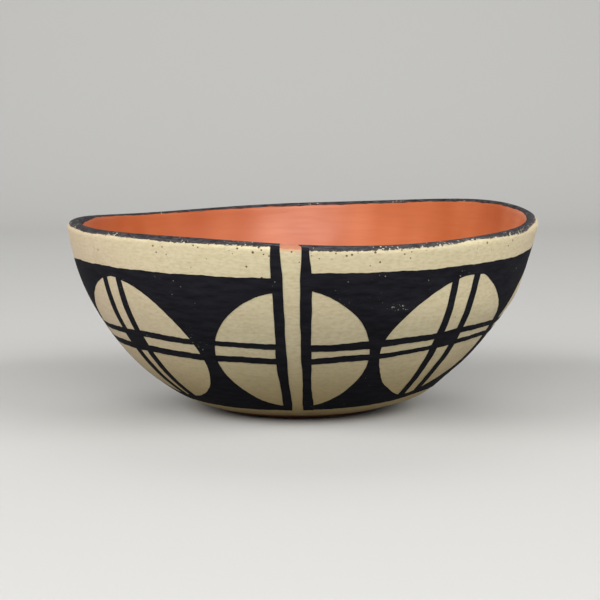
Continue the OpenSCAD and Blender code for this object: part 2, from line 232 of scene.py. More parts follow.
dented_from, dented_to, smooth_from = calm_z + 20, lip_z - 14, lip_z - 2
print("the pad is true up to", round(calm_z, 1), "mm")


# %% Points on the shaped skin
def swell(angle, run):
    """Fullness of the outside in millimetres: a little all round, and more on the right by the cosine
    squared."""
    flank = np.clip(np.cos(np.radians(angle) - flank_at), 0, None) ** 2
    return through(belly_points, run) + flank * through(flank_points, run)


def dents(angle, z):
    """Scraping marks: three slow waves round and up the wall, under a quarter millimetre, none at foot and
    lip."""
    marks = ripples(dent_waves, np.radians(angle), z)
    return marks * ramp(z, calm_z, dented_from) * ramp(z, smooth_from, dented_to)


def place(angle, rz):
    """Point in space: turned round the axis from the front, then leaned and lifted more the higher it is. The
    rim tilts once round, waves twice, dips five times and sags three times."""
    angle = np.asarray(angle, float)
    a, z = np.radians(angle), rz[..., 1]
    share = np.clip((z - calm_z) / (bowl_h - calm_z), 0, None)
    rise = rim_tilt * np.cos(a - rim_tilt_at) + rim_wave * np.cos(2 * (a - rim_wave_at))
    dip = rim_dip * np.cos(5 * (a - rim_dip_at)) + rim_sag * (1 - np.cos(3 * a))
    r = rz[..., 0] + dents(angle, z)
    return np.stack([
        r * np.sin(a) + rim_lean * share,
        -r * np.cos(a),
        z + rise * share ** rise_power - dip * share ** dip_power,
    ], -1)


def skin(angle, run, out=0.0):
    """Point on the skin at an angle from the front and a run from the lip, proud of it by out; what lies below
    the skin keeps the plain curve."""
    angle, run, out = np.broadcast_arrays(*(np.asarray(v, float) for v in (angle, run, out)))
    return place(angle, section(run, out + swell(angle, run) * (out >= 0)))


print("rim heights at front, right, back, left:", skin([0, 90, 180, 270], -lip_len / 2)[:, 2].round(1))

# %% [markdown]
# From grids to meshes.
# A coat is a closed section carried round the bowl, and a stroke is a thin slab. Both are grids of points, so
# their faces follow from the grid alone. Poles close a coat that reaches the middle of the floor. The sign of
# the enclosed volume tells whether the faces look outwards, and if they don't, their corners are reversed.

# %% Closed meshes
CREASE = np.radians(50)


def closed_mesh(name, points, faces):
    """Mesh from points in millimetres and four-cornered faces, turned outwards by the sign of its volume: the
    sum of corner products over all triangles, divided by six."""
    a, b, c, d = (points[faces[:, k]] for k in range(4))
    volume = np.sum(np.cross(b - a, c - a) * a) + np.sum(np.cross(c - a, d - a) * a)
    if volume < 0:
        faces = faces[:, ::-1]
    first_pole, last_pole = faces[:, 0] == faces[:, 1], faces[:, 2] == faces[:, 3]
    corners = faces[~first_pole & ~last_pole].tolist()
    corners += faces[first_pole, 1:].tolist() + faces[last_pole, :3].tolist()
    mesh = bpy.data.meshes.new(name)
    mesh.from_pydata((points * MM).tolist(), [], corners)
    mesh.polygons.foreach_set("use_smooth", np.ones(len(mesh.polygons), bool))
    mesh.set_sharp_from_angle(angle=CREASE)
    piece = bpy.data.objects.new(name, mesh)
    bpy.context.scene.collection.objects.link(piece)
    print(name, "faces", len(corners), "volume mm3", round(abs(volume) / 6, 1))
    return piece


# %% Coats and slabs
def grid_cells(index):
    """Corners of every cell of a grid of point numbers."""
    return np.stack([index[:-1, :-1], index[1:, :-1], index[1:, 1:], index[:-1, 1:]], -1).reshape(-1, 4)


def carried_round(name, points, poles=()):
    """Section points by column and station, joined round the bowl; poles close it, or else the section is a
    ring."""
    columns, stations = points.shape[:2]
    index = np.arange(columns * stations).reshape(columns, stations)
    index = np.concatenate([index, index[:1]])
    points = points.reshape(-1, 3)
    if len(poles):
        ends = np.full((columns + 1, 2), columns * stations) + [0, 1]
        index = np.concatenate([ends[:, :1], index, ends[:, 1:]], axis=1)
        points = np.concatenate([points, np.asarray(poles, float)])
    else:
        index = np.concatenate([index, index[:, :1]], axis=1)
    return closed_mesh(name, points, grid_cells(index))


def slab_faces(shape, start):
    """Faces of a slab whose upper grid is followed by its lower grid, with a wall all round the edge."""
    upper = start + np.arange(shape[0] * shape[1]).reshape(shape)
    lower = upper + upper.size
    edge = [np.concatenate([g[:, 0], g[-1, 1:], g[-2::-1, -1], g[0, -2::-1]]) for g in (upper, lower)]
    wall = grid_cells(np.stack(edge))
    return np.concatenate([grid_cells(upper)[:, ::-1], grid_cells(lower), wall[:, ::-1]])


print("faces of a slab of 3 by 3 points:", len(slab_faces((3, 3), 0)))


# %% Dressing a node
def dress(piece, node):
    """Puts a finished piece in the place of its CAD node."""
    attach(piece, "root")
    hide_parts(node)
    return piece


def mark(piece, name, values):
    """A number for each point of a piece, which its finish can read by name."""
    piece.data.attributes.new(name, "FLOAT", "POINT").data.foreach_set("value", np.ravel(values))


# %% [markdown]
# The coats of slip.
# Slip is clay thinned to cream and wiped on: red inside, cream outside, a brown wash by the foot. The cream
# goes a little way up the lip and meets the red that comes over from the inside. Solidify could give a coat
# its thickness; here each coat's section goes along the skin and back below it, so its two ends are closed as
# well.

# %% Slip coats
COLUMNS = 640
CREAM_ROWS, WASH_ROWS, RED_ROWS, UNDER_ROWS = 108, 10, 128, 16
slip_t = 0.4
cream_over, cream_stop, wash_start = 3.0, 7.0, 1.5
pole_ring = 1.0
around = np.arange(COLUMNS)[:, None] * 360.0 / COLUMNS


def there_and_back(from_run, to_run, rows):
    """Runs of a coat's section, along the skin and back below it, with the depth at each."""
    runs = np.concatenate([np.linspace(from_run, to_run, rows), np.linspace(to_run, from_run, UNDER_ROWS)])
    return runs, np.concatenate([np.zeros(rows), np.full(UNDER_ROWS, -slip_t)])


cream_runs, cream_depth = there_and_back(-cream_over, wall_len - cream_stop, CREAM_ROWS)
cream_coat = carried_round("cream_slip_coat", skin(around, cream_runs, cream_depth))
dress(cream_coat, "cream_slip")

wash_runs, wash_depth = there_and_back(wall_len - cream_stop, wall_len - wash_start, WASH_ROWS)
wash_coat = carried_round("foot_wash_coat", skin(around, wash_runs, wash_depth))
dress(wash_coat, "foot_wash")

red_runs, red_depth = there_and_back(path_end + pole_ring, -cream_over, RED_ROWS)
red_poles = skin(0.0, path_end, np.array([0.0, -slip_t]))
red_coat = carried_round("red_slip_coat", skin(around, red_runs, red_depth), red_poles)
dress(red_coat, "red_slip")

# %% [markdown]
# The foot.
# The pad of clay is pressed flat, then worn by standing on shelves: its edge is rounded and its middle is a
# hair hollow. A bevelled cylinder would look turned, so the section is drawn: a parabola for the hollow, a
# ring to stand on, and the wall's own curves above.

# %% Foot and pad
UNDERSIDE_ROWS, OUTSIDE_ROWS, INSIDE_ROWS, FLOOR_ROWS = 40, 30, 12, 10
pad_clear, foot_inset = 0.2, 0.4
pad_depth = slip_t + pad_clear
foot_r = foot_d / 2 - foot_inset
hollow_r, hollow_deep, edge_round = 27.0, 0.5, 0.6

under_r = np.linspace(pole_ring, foot_r, UNDERSIDE_ROWS)
under_z = hollow_deep * np.clip(1 - (under_r / hollow_r) ** 2, 0, 1)
under_z += edge_round * np.clip((under_r - foot_r + edge_round) / edge_round, 0, 1) ** 2
pad_outside = section(wall_len - np.linspace(edge_round, pad_rise - pad_clear, OUTSIDE_ROWS), -pad_depth)
top_t = np.linspace(np.interp(pad_rise - coil_lap - pad_clear, wall_lengths, t_steps), 0, INSIDE_ROWS)
pad_inside = inner_curve(top_t) + pad_depth * wall_out(top_t)
floor_share = np.linspace(0.95, 0.05, FLOOR_ROWS)
pad_floor_z = floor_z - floor_sag * (1 - floor_share ** 2) - pad_depth
pad_floor = np.stack([floor_r * floor_share, pad_floor_z], -1)
pad_section = np.concatenate([np.stack([under_r, under_z], -1), pad_outside, pad_inside, pad_floor])
pad_poles = [(0, 0, hollow_deep), (0, 0, floor_z - floor_sag - pad_depth)]
pad = carried_round("base_pad_clay", place(around[::2], pad_section[None]), pad_poles)
dress(pad, "base_pad")

# %% [markdown]
# The painter's hand.
# A brushed edge is never quite true: it sways slowly with the arm and shakes a little with the fingers. Moving
# each stroke by its own noise would open gaps where strokes meet, so one smooth field of shifts moves them all
# alike. Each kind of stroke is a slab of its own height, so that no two faces lie in one place where strokes
# cross.

# %% The hand's shake
sway_across = [(0.12, 19, 0, 1 / 9), (0.09, 53, 2, -1 / 5), (0.05, 131, 0, 1 / 1.9)]
sway_down = [(0.12, 23, 1, 1 / 12), (0.08, 61, 0, -1 / 6), (0.05, 149, 3, 1 / 2)]
shoulder_slip = dict(depth=1.1, at=49, wide=3, run=15, tall=4)
foot_slip = dict(depth=0.7, at=34, wide=6, run=75, tall=6)


def turn_of(width, run):
    """Angle in degrees that a width covers at a run: the width over the radius there."""
    return np.degrees(width / section(np.maximum(run, 0.0))[..., 0])


def bell(x, reach, power=2):
    """Bell curve: 1 at zero, falling as the exponential of minus the share of the reach to a power."""
    return np.exp(-(x / reach) ** power)


def shake(angle, run):
    """Angle and run after the hand's sway and shake: sums of sines across and down, in millimetres, and a slip
    of the brush at the shoulder and at the foot of the right oval, each a bell both ways."""
    across = ripples(sway_across, np.radians(angle), run)
    down = ripples(sway_down, np.radians(angle), run)
    for slip in (foot_slip, shoulder_slip):
        near = bell(angle - slip["at"], slip["wide"]) * bell(run - slip["run"], slip["tall"])
        down = down - slip["depth"] * near
    return angle + turn_of(across, run), run + down


print("one millimetre at the lip in degrees:", turn_of(1.0, 0.0).round(2))


# %% Strokes
def strokes(name, node, grids, proud):
    """One piece of black paint: a thin slab on the skin for every (angle, run) grid."""
    points, faces, start = [], [], 0
    for angle, run in grids:
        angle, run = shake(angle, run)
        both = np.stack([skin(angle, run, proud), skin(angle, run, 0.0)])
        points.append(both.reshape(-1, 3))
        faces.append(slab_faces(angle.shape, start))
        start += both.size // 3
    return dress(closed_mesh(name, np.concatenate(points), np.concatenate(faces)), node)


# %% [markdown]
# The break and its two bars.
# The painted band doesn't close: in front it stops at a bar, leaves a narrow strip of cream, and starts at
# another bar. Potters call that gap the line break. The bars lean apart a little and swell where the brush was
# pressed, so each is a middle line and a width that follow the run.

# %% Bars
BAR_COLUMNS, BAR_ROWS = 9, 220
bar_start, bar_proud = -2.4, 0.15
bar_feet = {"left": 92.4, "right": 92.2}
bar_middles = {
    "left": [(0, 353.85), (20, 354.5), (40, 354.9), (60, 355.3), (80, 355.8), (92, 355.6)],
    "right": [(0, 0.45), (20, 1.05), (40, 1.65), (60, 2.55), (75, 3.55), (92, 5.3)],
}
bar_widths = {
    "left": [(0, 3.9), (8, 4.4), (22, 4.0), (32, 4.4), (42, 4.1), (50, 4.4), (70, 3.7), (82, 3.6), (92, 3.4)],
    "right": [(0, 3.0), (5, 3.7), (20, 4.6), (33, 4.7), (40, 4.1), (50, 4.0), (62, 3.6), (74, 4.0), (84, 4.5),
              (92, 4.2)],
}


def bar_middle(side, run):
    """Middle of a bar as an angle: a line that bends a little to the right on its way down."""
    return through(bar_middles[side], run)


def bar(name, node, side):
    """An upright bar from under the rim line to the foot of the band: its middle, spread by shares of its
    width."""
    run = np.linspace(bar_start, bar_feet[side], BAR_ROWS)[None, :].repeat(BAR_COLUMNS, 0)
    share = np.linspace(-0.5, 0.5, BAR_COLUMNS)[:, None]
    half = turn_of(share * through(bar_widths[side], run), run)
    return strokes(name, node, [(bar_middle(side, run) + half, run)], bar_proud)


left_bar = bar("left_bar_paint", "left_bar", "left")
right_bar = bar("right_bar_paint", "right_bar", "right")
right_start, left_end = bar_middle("right", 0.0), bar_middle("left", 0.0)

# %% [markdown]
# The layout of the band.
# The band goes once round from the right bar to the left one and sinks a little on the way. Left out of its
# black are six whole ovals and a half one beside each bar. An oval is a superellipse: its width and height as
# shares, each to the power of its roundness, add up to one. The four panels in front differ as the painter's
# did, the next one on the right just shows at the edge, and the three at the back share the space that is
# left.

# %% Layout
band_top_points = [(0, 8.9), (7, 9.0), (16, 8.7), (27, 8.8), (46, 8.7), (60, 9.1), (72, 8.8), (90, 9.0),
                   (120, 9.8), (250, 12.4), (278, 13.3), (288, 12.5), (300, 12.4), (330, 12.3), (353, 11.8)]
band_foot_points = [(0, 91.9), (8, 91.6), (17, 91.0), (28, 89.5), (38, 87.6), (48, 84.9), (58, 82.0),
                    (68, 81.3), (85, 82.6), (110, 84.8), (180, 88.5), (300, 90.8), (335, 92.7), (353, 92.3)]


def panel(middle, half, top, tip, foot, top_round, foot_round, skew=0.0, tilt=0.0):
    """A panel of the band: middle and half width in degrees, runs of its top, tips and foot, two roundnesses,
    the share of its half width by which its top leans to the left, and how much lower its right tip sits."""
    return dict(middle=middle, half=half, top=top, tip=tip, foot=foot, top_round=top_round,
                foot_round=foot_round, skew=skew, tilt=tilt)


right_half = panel(-1.0, 21.6, 16.4, 55.5, 88.9, 1.77, 2.03)
right_oval = panel(45.9, 23.0, 13.4, 49.6, 80.8, 1.66, 1.72, 0.10, 3.4)
next_oval = panel(96.8, 26.5, 13.6, 34.0, 80.0, 2.00, 1.35)
left_oval = panel(305.8, 25.2, 16.8, 57.5, 85.0, 1.72, 2.05, -0.08)
left_half = panel(356.0, 20.4, 17.8, 52.8, 87.4, 1.74, 1.88)
back_from, back_step = 99.5, 51.3
back_ovals = [panel(back_from + k * back_step, 24.0, 14.0 + k, 48.0 + k, 81.5 + k, 1.65, 1.90)
              for k in (1, 2, 3)]
whole_ovals = [right_oval, next_oval, *back_ovals, left_oval]
panels = [right_half, *whole_ovals, left_half]
print("necks in degrees:", [round(b["middle"] - b["half"] - a["middle"] - a["half"], 1)
                            for a, b in zip(panels, panels[1:])])

# %% Edges of a panel
SIDE_STEPS = 200
side_from = 0.3


def panel_edge(p, angle, lower):
    """Run of a panel's upper or lower edge: the superellipse's height at the share x of its half width, from a
    line between the tips; above that line the share counts as x + skew (1 - x squared)."""
    x = np.clip((angle - p["middle"]) / p["half"], -1, 1)
    tip = p["tip"] + p["tilt"] * x
    if not lower:
        x = x + p["skew"] * (1 - x * x)
    power = p["foot_round"] if lower else p["top_round"]
    height = (1 - np.abs(x) ** power) ** (1 / power)
    return tip + height * ((p["foot"] if lower else p["top"]) - tip)


def panel_side(p, run, right):
    """Angle of a panel's left or right side at a run, read back from its edges beside that tip, or a bar's
    middle."""
    if p is right_half and not right:
        return bar_middle("right", run)
    if p is left_half and right:
        return bar_middle("left", run)
    out = p["half"] * np.sin(np.linspace(side_from, np.pi / 2, SIDE_STEPS))
    angle = p["middle"] + (out if right else -out)
    runs = np.concatenate([panel_edge(p, angle, False), panel_edge(p, angle[::-1], True)])
    return np.interp(run, runs, np.concatenate([angle, angle[::-1]]))


print("right oval half way down:", [panel_side(right_oval, 50.0, side).round(1) for side in (False, True)])

# %% [markdown]
# The black ground.
# The painter outlines the ovals and fills in all round them, so the ground is one field above the ovals' tips
# and one below. Cutting ovals out of a strip leaves ragged triangles, so each field is a grid instead: its
# columns are crowded at the tips, where the edges stand upright, spread evenly over the necks, and lean along
# with the bars.

# %% Columns of the ground
OVAL_COLUMNS, NECK_COLUMNS = 160, 10
LEAN_ROUNDS = 4
bar_reach = 9.0


def ground_columns():
    """Angles of the columns: the sine of even steps across each panel, and even steps across each neck."""
    spans = []
    for p in panels:
        first, last = max(p["middle"] - p["half"], right_start), min(p["middle"] + p["half"], left_end)
        ends = np.arcsin(np.clip((np.array([first, last]) - p["middle"]) / p["half"], -1, 1))
        spans.append(p["middle"] + p["half"] * np.sin(np.linspace(*ends, OVAL_COLUMNS)))
    necks = [np.linspace(a[-1], b[0], NECK_COLUMNS)[1:-1] for a, b in zip(spans, spans[1:])]
    return np.sort(np.concatenate(spans + necks))


def beside_bars(column, run):
    """Angle of a column at a run: next to a bar it follows the bar's middle, less so the farther away it
    is."""
    near_right = ramp(column, right_start + bar_reach, right_start)
    near_left = ramp(column, left_end - bar_reach, left_end)
    right_shift = bar_middle("right", run) - right_start
    left_shift = bar_middle("left", run) - left_end
    return column + near_right * right_shift + near_left * left_shift


def panel_edges(column, lower):
    """Runs of the panels' edges on the columns, from tip to tip across a neck; a few rounds settle the
    lean."""
    tips = [(p["middle"] + side * p["half"], p["tip"] + side * p["tilt"]) for p in panels for side in (-1, 1)]
    run = np.interp(column, *np.transpose(tips))
    for _ in range(LEAN_ROUNDS):
        at = beside_bars(column, run)
        for p in panels:
            run = np.where(np.abs(at - p["middle"]) <= p["half"], panel_edge(p, at, lower), run)
    return run


columns = ground_columns()
print("columns:", len(columns))

# %% Ground of the band
UPPER_ROWS, LOWER_ROWS = 18, 14
ground_proud = 0.10
neck_overlap, neck_thin = 0.4, 2


def ground_grid(high, low, rows):
    """Angles and runs of a field of black between two runs on every column."""
    run = high[:, None] + (low - high)[:, None] * np.linspace(0, 1, rows)
    return beside_bars(columns[:, None], run), run


edge_above, edge_below = panel_edges(columns, False), panel_edges(columns, True)
overlap = neck_overlap * (edge_below - edge_above < neck_thin)
upper_angle, upper_run = ground_grid(through(band_top_points, columns), edge_above + overlap, UPPER_ROWS)
lower_angle, lower_run = ground_grid(edge_below, through(band_foot_points, columns), LOWER_ROWS)
upper_ground = strokes("upper_ground_paint", "upper_ground", [(upper_angle, upper_run)], ground_proud)
lower_ground = strokes("lower_ground_paint", "lower_ground", [(lower_angle, lower_run)], ground_proud)

# %% [markdown]
# The rim line.
# One turn of the brush over the lip, from bar to bar. Fingers and stacking have worn it, so its lower edge is
# jagged. A displaced edge needs many vertices only along its length: the grid is long and narrow, and the jags
# are sines that don't share a period, stronger on some stretches than on others.

# %% Rim line
RIM_COLUMNS, RIM_ROWS = 2600, 12
rim_proud = 0.12
rim_past_right, rim_past_left = 1.5, 1.8
drip_turn, drip_at, drip_w = 0.8, 0.55, 0.12
rim_low_points = [(-2, -1.4), (7, -0.8), (15, -1.2), (30, -1.4), (36, -1.7), (44, -2.2), (50, -1.8),
                  (58, -1.1), (63, -1.1), (69, -2.0), (76, -2.6), (95, -2.7), (140, -1.6), (240, -1.6),
                  (265, -2.2), (285, -2.0), (300, -1.5), (312, -1.6), (330, -1.0), (350, -1.7), (358, -1.7)]
rim_high_points = [(0, -7.7), (60, -7.6), (85, -6.4), (110, -6.9), (135, -7.2), (170, -7.5), (205, -7.1),
                   (235, -6.7), (252, -6.8), (264, -8.2), (274, -8.9), (288, -8.6), (310, -7.9), (358, -7.7)]
rim_high_waves = [(0.06, 29, 0, 0), (0.04, 97, 1, 0)]
worn_mean, worn_waves = 0.5, [(0.3, 3, 1, 0), (0.2, 11, 2, 0)]
jag_size, jag_waves = 0.13, [(1.0, 173, 0, 0), (1.0, 281, 1, 0), (0.8, 467, 2, 0), (0.6, 719, 3, 0)]

rim_share = np.linspace(0, 1, RIM_ROWS)
rim_turn = np.linspace(0, 1, RIM_COLUMNS)
rim_first = right_start - turn_of(rim_past_right, 0.0) - drip_turn * bell(rim_share - drip_at, drip_w)
rim_last = left_end + turn_of(rim_past_left, 0.0)
rim_angle = rim_first + (rim_last - rim_first) * rim_turn[:, None]
rim_a = np.radians(rim_angle[:, -1])
jags = (worn_mean + ripples(worn_waves, rim_a)) * ripples(jag_waves, rim_a)
rim_low = through(rim_low_points, rim_angle[:, -1]) - jag_size * jags
rim_high = through(rim_high_points, rim_angle[:, 0]) + ripples(rim_high_waves, rim_a)
rim_run = rim_high[:, None] + (rim_low - rim_high)[:, None] * rim_share
rim_line = strokes("rim_line_paint", "rim_line", [(rim_angle, rim_run)], rim_proud)

# %% [markdown]
# Lines across the ovals.
# Two level lines cross every panel, and two upright lines cross each whole oval; where the pairs meet, the
# painter filled the square. Each line is a middle and a width, and ends a hair inside the black, as a brush
# would overlap.

# %% Level lines
LEVEL_COLUMNS, LINE_ROWS = 160, 7
level_proud = 0.13
overlap_turn, near_tip = 0.5, 0.95
upper_level_points = [(0, 45.9), (18, 44.7), (26, 43.6), (36, 42.7), (49, 40.9), (67, 40.9), (120, 43.0),
                      (300, 43.8), (322, 44.2), (330, 44.9), (337, 44.4), (343, 44.8), (353, 45.0)]
lower_level_points = [(0, 53.7), (18, 51.7), (26, 51.0), (33, 49.8), (49, 47.4), (56, 46.7), (70, 46.7),
                      (120, 50.0), (300, 51.7), (322, 52.4), (330, 53.1), (338, 53.0), (353, 53.3)]
upper_level_widths = [(0, 3.7), (12, 3.9), (16, 4.3), (26, 3.7), (37, 3.3), (50, 3.1), (300, 2.9), (320, 3.1),
                      (337, 2.6), (353, 3.0)]
lower_level_widths = [(0, 3.1), (12, 3.6), (18, 3.5), (26, 2.9), (50, 2.7), (180, 3.0), (320, 3.5), (353, 3.3)]
across_line = np.linspace(-0.5, 0.5, LINE_ROWS)


def level_grid(p, points, widths):
    """A level line across one panel; its middle and its width are curves through a few points."""
    at = through(points, p["middle"] + near_tip * p["half"] * np.array([-1, 1]))
    first, last = panel_side(p, at[0], False) - overlap_turn, panel_side(p, at[1], True) + overlap_turn
    angle = np.linspace(first, last, LEVEL_COLUMNS)
    run = through(points, angle)[:, None] + through(widths, angle)[:, None] * across_line
    return angle[:, None].repeat(LINE_ROWS, 1), run


upper_level = strokes("upper_level_paint", "upper_level_line",
                      [level_grid(p, upper_level_points, upper_level_widths) for p in panels], level_proud)
lower_level = strokes("lower_level_paint", "lower_level_line",
                      [level_grid(p, lower_level_points, lower_level_widths) for p in panels], level_proud)

# %% Upright lines
UPRIGHT_ROWS = 90
upright_proud, upright_overlap = 0.16, 0.8
right_uprights = [[(12, 38.7), (24, 39.4), (36, 40.3), (55, 42.1), (62, 42.7), (70, 44.0), (82, 45.9)],
                  [(12, 45.9), (20, 46.3), (30, 46.8), (38, 47.6), (56, 49.7), (64, 50.2), (72, 51.9),
                   (79, 53.4)]]
left_uprights = [[(12, 304.2), (27, 303.4), (43, 303.1), (75, 303.2), (86, 302.8)],
                 [(12, 310.5), (43, 309.5), (60, 309.7), (72, 309.8), (86, 309.0)]]
upright_w, upright_gap = 3.8, 10.0
first_lean, last_lean = 7.5, -2.5


def upright_middle(p, line, run):
    """Middle of an upright line: through its points in front; at the back, half the gap from a leaning
    middle."""
    if p is right_oval:
        return through(right_uprights[line], run)
    if p is left_oval:
        return through(left_uprights[line], run)
    lean = first_lean + (last_lean - first_lean) * p["middle"] / 360
    middle = p["middle"] + lean * (run - p["tip"]) / (p["foot"] - p["top"])
    return middle + turn_of((line - 0.5) * upright_gap, run)


def upright_grid(p, line, lower):
    """An upright line of one oval, from a level line to a hair inside the black beyond the oval's edge."""
    near = through(lower_level_points if lower else upper_level_points, p["middle"])
    end_angle = upright_middle(p, line, np.array(p["foot"] if lower else p["top"]))
    end = panel_edge(p, end_angle, lower) + (upright_overlap if lower else -upright_overlap)
    run = np.linspace(near, end, UPRIGHT_ROWS)[None, :].repeat(LINE_ROWS, 0)
    return upright_middle(p, line, run) + turn_of(across_line[:, None] * upright_w, run), run


upper_uprights = strokes("upper_upright_paint", "upper_upright_lines",
                         [upright_grid(p, k, False) for p in whole_ovals for k in (0, 1)], upright_proud)
lower_uprights = strokes("lower_upright_paint", "lower_upright_lines",
                         [upright_grid(p, k, True) for p in whole_ovals for k in (0, 1)], upright_proud)

# %% Filled crossings
SQUARE_STEPS = 24
square_proud = 0.18


def square_grid(p):
    """The filled crossing: between the outer edges of the upright lines and the middles of the level lines."""
    across = np.linspace(0, 1, SQUARE_STEPS)[:, None]
    top, foot = through(upper_level_points, p["middle"]), through(lower_level_points, p["middle"])
    run = np.linspace(top, foot, SQUARE_STEPS)[None, :].repeat(SQUARE_STEPS, 0)
    left = upright_middle(p, 0, run) - turn_of(upright_w / 2, run)
    right = upright_middle(p, 1, run) + turn_of(upright_w / 2, run)
    return left + (right - left) * across, run


squares = strokes("crossing_square_paint", "crossing_squares", [square_grid(p) for p in whole_ovals],
                  square_proud)

# %% [markdown]
# Finishes.
# Colours are written as they look on a screen and made linear for the shader. A texture's scale is the inverse
# of the size of its features, so a size in millimetres is turned into a scale by one small function.


# %% Colour and scale
def linear(hex_colour):
    """sRGB hex to linear light: the usual curve, with its straight stretch near black."""
    c = np.array([int(hex_colour[k:k + 2], 16) for k in (1, 3, 5)]) / 255
    return (*np.where(c <= 0.04045, c / 12.92, ((c + 0.055) / 1.055) ** 2.4), 1.0)


def per_mm(size):
    """Texture scale for features of a size in millimetres, on coordinates in metres."""
    return 1.0 / (size * MM)


print("half grey in linear light:", round(linear("#808080")[0], 3))

# %% Nodes and materials
CLAY_IOR = 1.5
# Sockets of a Mix node that mixes colours: its factor, its two colours, and its result.
FACTOR, COLOUR_A, COLOUR_B, COLOUR = 0, 6, 7, 2


def add(tree, kind, links=None, **settings):
    """Adds one node: settings are its properties, links fills its sockets with values or other nodes'
    outputs."""
    made = tree.nodes.new("ShaderNode" + kind)
    for key, value in settings.items():
        setattr(made, key, value)
    for socket, value in (links or {}).items():
        if isinstance(value, bpy.types.NodeSocket):
            tree.links.new(value, made.inputs[socket])
        else:
            made.inputs[socket].default_value = value
    return made


def new_material(name, roughness, gloss=0.5):
    """A new node material with its tree and its shader; fired clay bends light as glass does."""
    material = bpy.data.materials.new(name)
    material.use_nodes = True
    tree = material.node_tree
    shader = tree.nodes["Principled BSDF"]
    shader.inputs["Roughness"].default_value = roughness
    shader.inputs["IOR"].default_value = CLAY_IOR
    shader.inputs["Specular IOR Level"].default_value = gloss
    return material, tree, shader


# %% [markdown]
# Where the coats are worn, and where light and shade are painted.
# Grit pulled out of the cream under the front rim and at a chip on the left. The red shows through on the lip
# at the break and in a thin edge by the foot. The cream is drawn darker and yellower low down as painted
# shade, and pinker away from the front as a painted tint of warm side light. The black has lost flakes at its
# rim and at one spot on the right; on the right of the lip its crest is drawn greyer as a painted highlight,
# and the red on the lip top at the break is drawn paler as painted light. Weight painting would mark such
# places by hand; a formula of the angle and the run marks them on every point, and the finishes below read the
# marks.

# %% Wear of the cream, with painted shade low down and a painted tint of side light
break_at, break_w, break_power = 357.2, 3.6, 6
few_pits, front_reach = 0.015, 38
lip_grit, lip_grit_reach = 0.8, 3.5
wall_grit, wall_grit_reach = 0.25, 10
chip_pits, chip_at, chip_w, chip_run, chip_h = 0.8, -58, 2, 7, 2.5
blush_from, blush_full = 0.8, -2.6
foot_red, foot_edge, cream_end = 0.8, 3.5, wall_len - cream_stop
thin_from, thin_full = 45, 90
left_side_light, right_side_light = (-30, -70), (50, 90)

from_front = (around + 180) % 360 - 180
at_break = bell((around - break_at + 180) % 360 - 180, break_w, break_power)
below_lip = np.clip(cream_runs, 0, None)
grit = lip_grit * bell(below_lip, lip_grit_reach) + wall_grit * bell(below_lip, wall_grit_reach)
chip = chip_pits * bell(from_front - chip_at, chip_w) * bell(cream_runs - chip_run, chip_h)
pitted = few_pits + grit * bell(from_front, front_reach) + chip
break_blush = at_break * ramp(cream_runs, blush_from, blush_full)
foot_blush = foot_red * ramp(cream_runs, cream_end - foot_edge, cream_end) ** 2
# Darker and yellower down the lower wall: painted shade.
thin = ramp(cream_runs, thin_from, thin_full)
# Pinker away from the front: a painted tint of warm light on the sides.
flank = np.maximum(ramp(from_front, *left_side_light), ramp(from_front, *right_side_light))
mark(cream_coat, "pitted", pitted)
mark(cream_coat, "blush", break_blush + foot_blush)
mark(cream_coat, "thin", np.broadcast_to(thin, pitted.shape))
mark(cream_coat, "flank", np.broadcast_to(flank, pitted.shape))
print("pitted share from", pitted.min().round(2), "to", pitted.max().round(2))

# %% Wear of the red and the black, with painted light and a painted highlight on the lip
crest_light_from, crest_light_full = -7, -4
wear_and_sheen_at, wear_and_sheen_reach = 32, 24
edge_wear, edge_grip, edge_reach = 0.8, 0.7, 0.7
crest_highlight, crest_highlight_run, crest_highlight_reach = 0.4, -3, 1.2
spot_wear, spot_at, spot_w, spot_run, spot_h = 1.9, 23.5, 3, 25, 2

# Paler red on the lip top at the break: painted light on the crest.
crest_light = at_break * ramp(red_runs, crest_light_from, crest_light_full)
right_wear_and_sheen = bell(rim_angle - wear_and_sheen_at, wear_and_sheen_reach)
rim_wear_and_sheen = (edge_wear + edge_grip * right_wear_and_sheen) * np.exp((rim_run - rim_low[:, None]) / edge_reach)
# A grey streak along the top of the lip on the right: a painted highlight, with a few more flakes.
rim_wear_and_sheen += crest_highlight * right_wear_and_sheen * bell(rim_run - crest_highlight_run, crest_highlight_reach)
ground_wear = spot_wear * bell(upper_angle - spot_at, spot_w) * bell(upper_run - spot_run, spot_h)
mark(red_coat, "crest_light", np.append(crest_light, [0.0, 0.0]))
mark(rim_line, "wear_and_sheen", np.stack([rim_wear_and_sheen, rim_wear_and_sheen]))
mark(upper_ground, "wear_and_sheen", np.stack([ground_wear, ground_wear]))
print("wear of the rim line up to", rim_wear_and_sheen.max().round(2))

# %% [markdown]
# Cream slip, polished with a rag.
# White clay wiped on thin and rubbed while damp: a faint sheen, level streaks from the rubbing, warm and pale
# patches where the coat is thinner or thicker, a pinker tone away from the front that is a painted tint of
# warm side light, a darker, yellower tone low down that is painted shade, a fine grain, and pits where grit
# pulled out. The grain is drawn a little coarser than life, so that it shows at this distance.

# %% Tones of the cream slip
cream, tree, shader = new_material("polished cream slip", 0.6, gloss=0.35)
coords = add(tree, "TexCoord").outputs["Object"]
patches = add(tree, "TexNoise", {"Vector": coords, "Scale": per_mm(38), "Detail": 3.0})
warm = add(tree, "Mix", {FACTOR: patches.outputs[0], COLOUR_A: linear("#e0d6b1"),
                         COLOUR_B: linear("#dacba9")}, data_type="RGBA")
